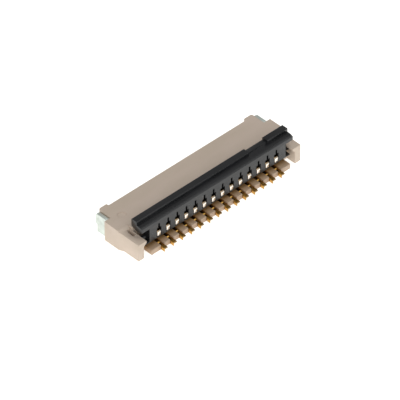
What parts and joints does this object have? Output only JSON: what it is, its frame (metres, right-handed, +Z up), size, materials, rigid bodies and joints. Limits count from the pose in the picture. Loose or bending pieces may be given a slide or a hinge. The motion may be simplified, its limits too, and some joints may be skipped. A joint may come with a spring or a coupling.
{
  "type": "fpc connector",
  "caption": "Low right-angle board connector for a flat flexible cable, with a black back-flip lever standing open, gold contacts and side solder tabs.",
  "frame": {"origin": "middle of the footprint on the circuit board's top surface", "axes": "+X along the contact row, +Y out of the cable mouth, +Z up away from the board"},
  "size_m": [0.0092, 0.003, 0.0016],
  "materials": {
    "housing_resin": "beige moulded liquid-crystal polymer, satin",
    "lever_resin": "black moulded liquid-crystal polymer, satin",
    "contact_gold": "gold-plated phosphor bronze, sheared edges",
    "tab_tin": "matte tin plating over copper alloy"
  },
  "bodies": {
    "base": {"housing": "housing_resin", "contact_01": "contact_gold", "contact_02": "contact_gold", "contact_03": "contact_gold", "contact_04": "contact_gold", "contact_05": "contact_gold", "contact_06": "contact_gold", "contact_07": "contact_gold", "contact_08": "contact_gold", "contact_09": "contact_gold", "contact_10": "contact_gold", "contact_11": "contact_gold", "contact_12": "contact_gold", "contact_13": "contact_gold", "contact_14": "contact_gold", "solder_tab_left": "tab_tin", "solder_tab_right": "tab_tin"},
    "lever": {"actuator": "lever_resin"}
  },
  "joints": [
    {"name": "lever_flip", "type": "hinge", "parent": "base", "child": "lever", "pos_m": [0, -0.00074, 0.00063], "axis": [1, 0, 0], "range_deg": [0, 90]}
  ]
}
